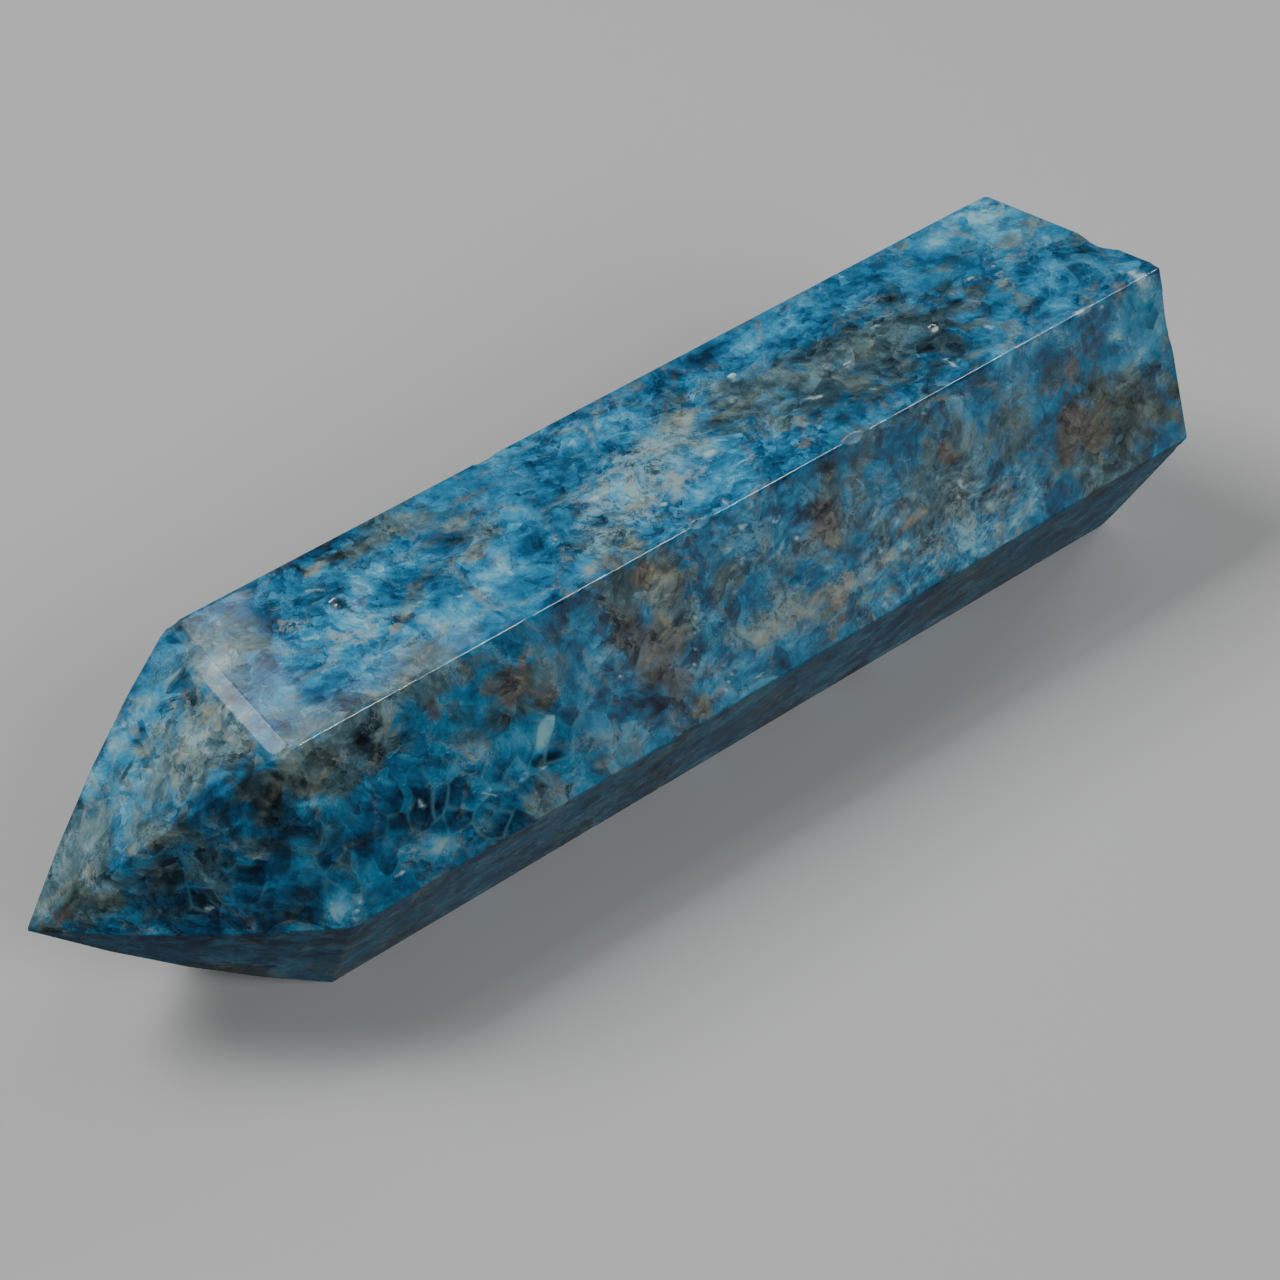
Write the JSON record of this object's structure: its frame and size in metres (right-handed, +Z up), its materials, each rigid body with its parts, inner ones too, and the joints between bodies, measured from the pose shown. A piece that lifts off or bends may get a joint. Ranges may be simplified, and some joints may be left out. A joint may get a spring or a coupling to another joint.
{
  "type": "polished apatite crystal point",
  "caption": "Polished point of massive blue apatite: a long faceted stone ground to a short point, with a flat sawn base, lying on a long facet.",
  "frame": {"origin": "under the middle of the stone, on the surface that it rests on", "axes": "+X along the stone from the point to the flat base, +Y across it towards the back, +Z up"},
  "size_m": [0.0918, 0.0268, 0.0244],
  "materials": {
    "blue_apatite": "polished"
  },
  "bodies": {
    "root": {"apatite_tower": "blue_apatite"}
  },
  "joints": []
}
